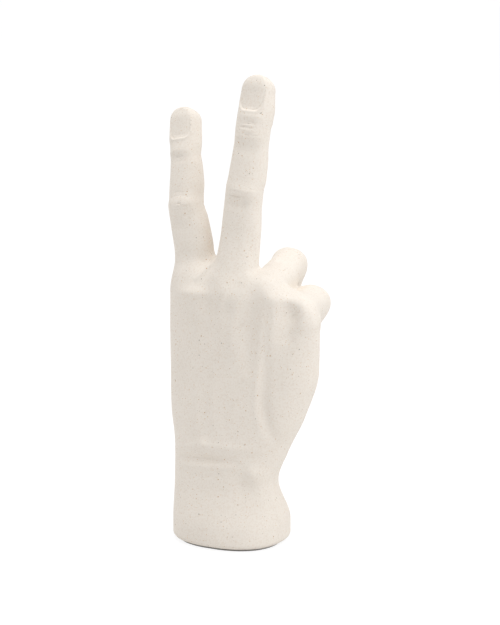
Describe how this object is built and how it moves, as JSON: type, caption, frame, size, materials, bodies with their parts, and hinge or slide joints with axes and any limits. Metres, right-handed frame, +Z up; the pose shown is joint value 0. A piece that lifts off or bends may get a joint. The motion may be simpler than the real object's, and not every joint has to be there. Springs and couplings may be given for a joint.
{
  "type": "ceramic hand sculpture",
  "caption": "Free-standing matte ceramic right hand that stands on its wrist, index and middle fingers raised in a V, the others folded under the thumb.",
  "frame": {"origin": "centre of the face it rests on, under the wrist", "axes": "+Z up along the hand from wrist to fingertips, -Y out of the back of the hand, +Y out of the palm, -X towards the thumb's side, +X towards the little finger's side"},
  "size_m": [0.0911, 0.0855, 0.24],
  "materials": {
    "ceramic": "matte speckled stoneware, dry satin glaze",
    "felt": "pressed wool felt"
  },
  "bodies": {
    "root": {"wrist_palm_shell": "ceramic", "base_slab": "ceramic", "index_finger": "ceramic", "middle_finger": "ceramic", "ring_finger": "ceramic", "little_finger": "ceramic", "thumb": "ceramic", "felt_pad": "felt"}
  },
  "joints": []
}
